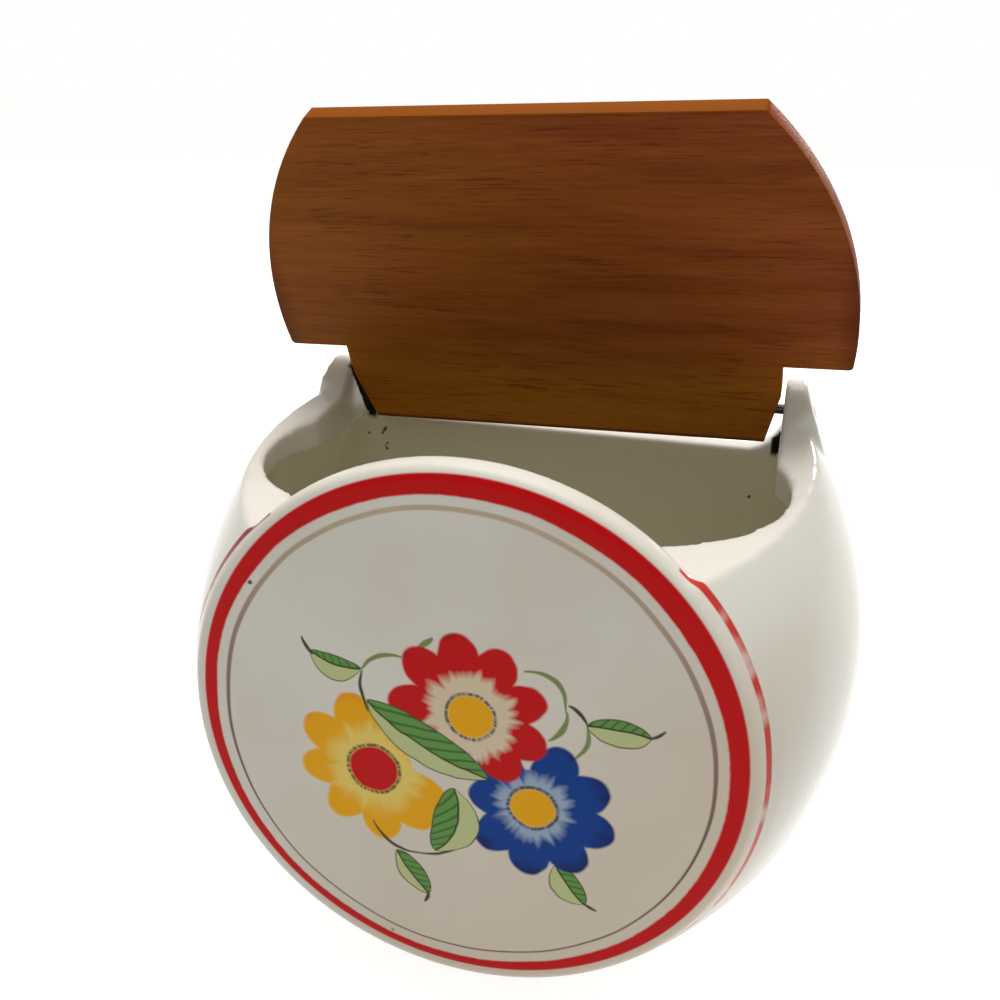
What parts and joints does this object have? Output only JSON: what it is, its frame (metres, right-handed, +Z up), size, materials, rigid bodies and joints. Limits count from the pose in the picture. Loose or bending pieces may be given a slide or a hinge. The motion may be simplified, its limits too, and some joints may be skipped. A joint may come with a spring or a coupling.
{
  "type": "salt box with hinged lid",
  "caption": "Wall-hung ceramic salt box with a round flat front, a barrel body, an open mouth between its ears, and a wooden lid whose tongue turns on short pins.",
  "frame": {"origin": "under the middle of the box, at the level of its flat foot", "axes": "+X to the right seen from the front, +Y back to the wall, +Z up"},
  "size_m": [0.148, 0.0896, 0.1828],
  "materials": {
    "glaze": "glossy",
    "wood": "varnished",
    "pin_steel": "satin"
  },
  "bodies": {
    "body": {"body": "glaze"},
    "lid": {"lid": "wood", "left_pin": "pin_steel", "right_pin": "pin_steel"}
  },
  "joints": [
    {"name": "lid_hinge", "type": "hinge", "parent": "body", "child": "lid", "pos_m": [0, 0.03275, 0.11776], "axis": [1, 0, 0], "range_deg": [-30, 71.4]}
  ]
}
